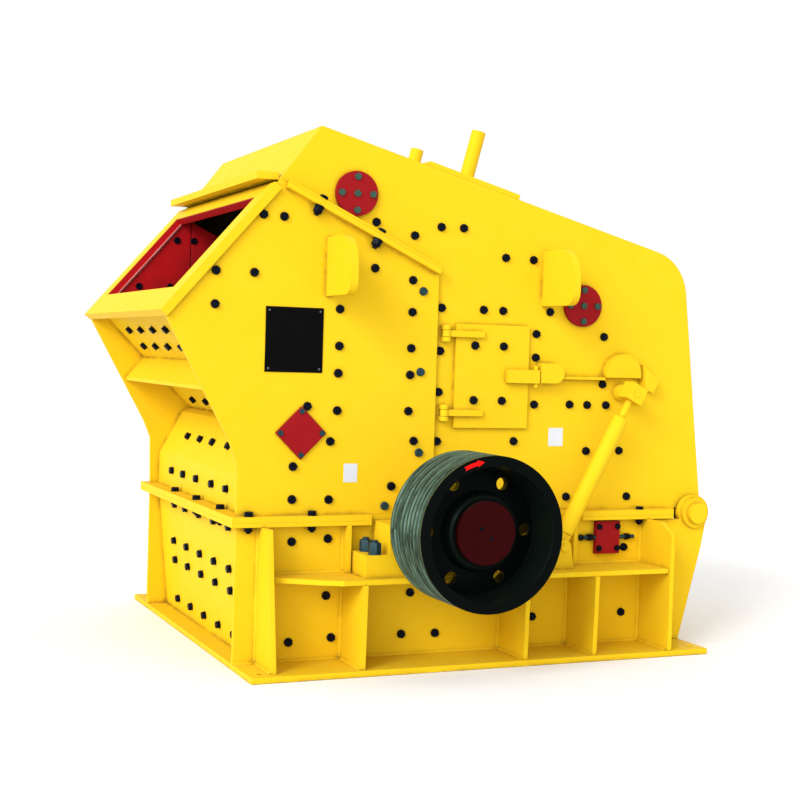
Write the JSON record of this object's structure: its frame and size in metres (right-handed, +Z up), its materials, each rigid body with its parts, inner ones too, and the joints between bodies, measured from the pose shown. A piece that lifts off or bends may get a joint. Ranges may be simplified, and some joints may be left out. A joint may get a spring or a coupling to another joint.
{
  "type": "impact crusher",
  "caption": "Impact crusher with a bar rotor in a ribbed welded housing, sloping feed opening, multi-groove belt pulley and a rear cover that swings open on two screw jacks.",
  "frame": {"origin": "centre of the base flange's underside at floor level", "axes": "+Z up, +X from the feed end to the hinge end, -Y towards the drive side with the pulley"},
  "size_m": [3.2042, 2.844, 2.8638],
  "materials": {
    "yellow_paint": "gloss",
    "red_paint": "gloss",
    "hub_red": "gloss",
    "pulley_black": "gloss",
    "steel": "satin",
    "rotor_steel": "matte",
    "plate_black": "satin"
  },
  "bodies": {
    "frame": {"base_flange": "yellow_paint", "lower_side_drive": "yellow_paint", "lower_side_free": "yellow_paint", "lower_front_wall": "yellow_paint", "lower_rear_wall": "yellow_paint", "lower_flange": "yellow_paint", "stiffeners_drive": "yellow_paint", "stiffeners_free": "yellow_paint", "bearing_shelves": "yellow_paint", "bearing_housings": "yellow_paint", "hinge_ears": "yellow_paint", "hinge_pins": "yellow_paint", "front_side_drive": "yellow_paint", "front_side_free": "yellow_paint", "front_flange": "yellow_paint", "upper_front_wall": "yellow_paint", "feed_floor": "yellow_paint", "front_shelf": "yellow_paint", "inlet_frame": "yellow_paint", "feed_liners": "red_paint", "front_lifting_lugs": "yellow_paint", "diamond_covers": "red_paint", "adjuster_covers": "red_paint", "adjuster_screws": "steel", "name_plate": "plate_black", "jack_feet": "yellow_paint"},
    "cover": {"cover_side_drive": "yellow_paint", "cover_side_free": "yellow_paint", "cover_roof": "yellow_paint", "cover_back": "yellow_paint", "cover_front_slope": "yellow_paint", "cover_flange": "yellow_paint", "roof_pad": "yellow_paint", "adjusting_rods": "yellow_paint", "front_apron": "rotor_steel", "rear_apron": "rotor_steel", "apron_axles": "steel", "axle_covers": "red_paint", "cover_lifting_lugs": "yellow_paint", "door_mounts": "yellow_paint", "jack_brackets": "yellow_paint"},
    "door": {"inspection_door": "yellow_paint", "door_straps": "yellow_paint"},
    "rotor": {"rotor_shaft": "steel", "rotor_discs": "rotor_steel", "blow_bars": "rotor_steel", "pulley": "pulley_black", "hub_cap": "hub_red"},
    "jack_tube_drive": {"jack_tube_drive": "yellow_paint"},
    "jack_tube_free": {"jack_tube_free": "yellow_paint"},
    "jack_screw_drive": {"jack_screw_drive": "yellow_paint"},
    "jack_screw_free": {"jack_screw_free": "yellow_paint"}
  },
  "joints": [
    {"name": "cover_flip", "type": "hinge", "parent": "frame", "child": "cover", "pos_m": [1.385, 0, 0.745], "axis": [0, 1, 0], "range_deg": [0, 45]},
    {"name": "rotor_spin", "type": "hinge", "parent": "frame", "child": "rotor", "pos_m": [-0.24, 0, 0.74], "axis": [0, 1, 0], "continuous": true},
    {"name": "door_swing", "type": "hinge", "parent": "cover", "child": "door", "pos_m": [-0.19, -0.907, 1.49], "axis": [0, 0, -1], "range_deg": [0, 100]},
    {"name": "jack_tube_drive_pivot", "type": "hinge", "parent": "frame", "child": "jack_tube_drive", "pos_m": [0.46, -1.012, 0.59], "axis": [0, 1, 0], "range_deg": [0, 19.3]},
    {"name": "jack_tube_free_pivot", "type": "hinge", "parent": "frame", "child": "jack_tube_free", "pos_m": [0.46, 1.012, 0.59], "axis": [0, 1, 0], "range_deg": [0, 19.3]},
    {"name": "jack_screw_drive_pivot", "type": "hinge", "parent": "cover", "child": "jack_screw_drive", "pos_m": [0.9, -1.012, 1.417], "axis": [0, 1, 0], "range_deg": [-25.9, 0]},
    {"name": "jack_screw_free_pivot", "type": "hinge", "parent": "cover", "child": "jack_screw_free", "pos_m": [0.9, 1.012, 1.417], "axis": [0, 1, 0], "range_deg": [-25.9, 0]}
  ],
  "couplings": [
    {"joint": "jack_tube_drive_pivot", "follows": "cover_flip", "ratio": 0.426},
    {"joint": "jack_tube_free_pivot", "follows": "cover_flip", "ratio": 0.426},
    {"joint": "jack_screw_drive_pivot", "follows": "cover_flip", "ratio": -0.574},
    {"joint": "jack_screw_free_pivot", "follows": "cover_flip", "ratio": -0.574}
  ]
}
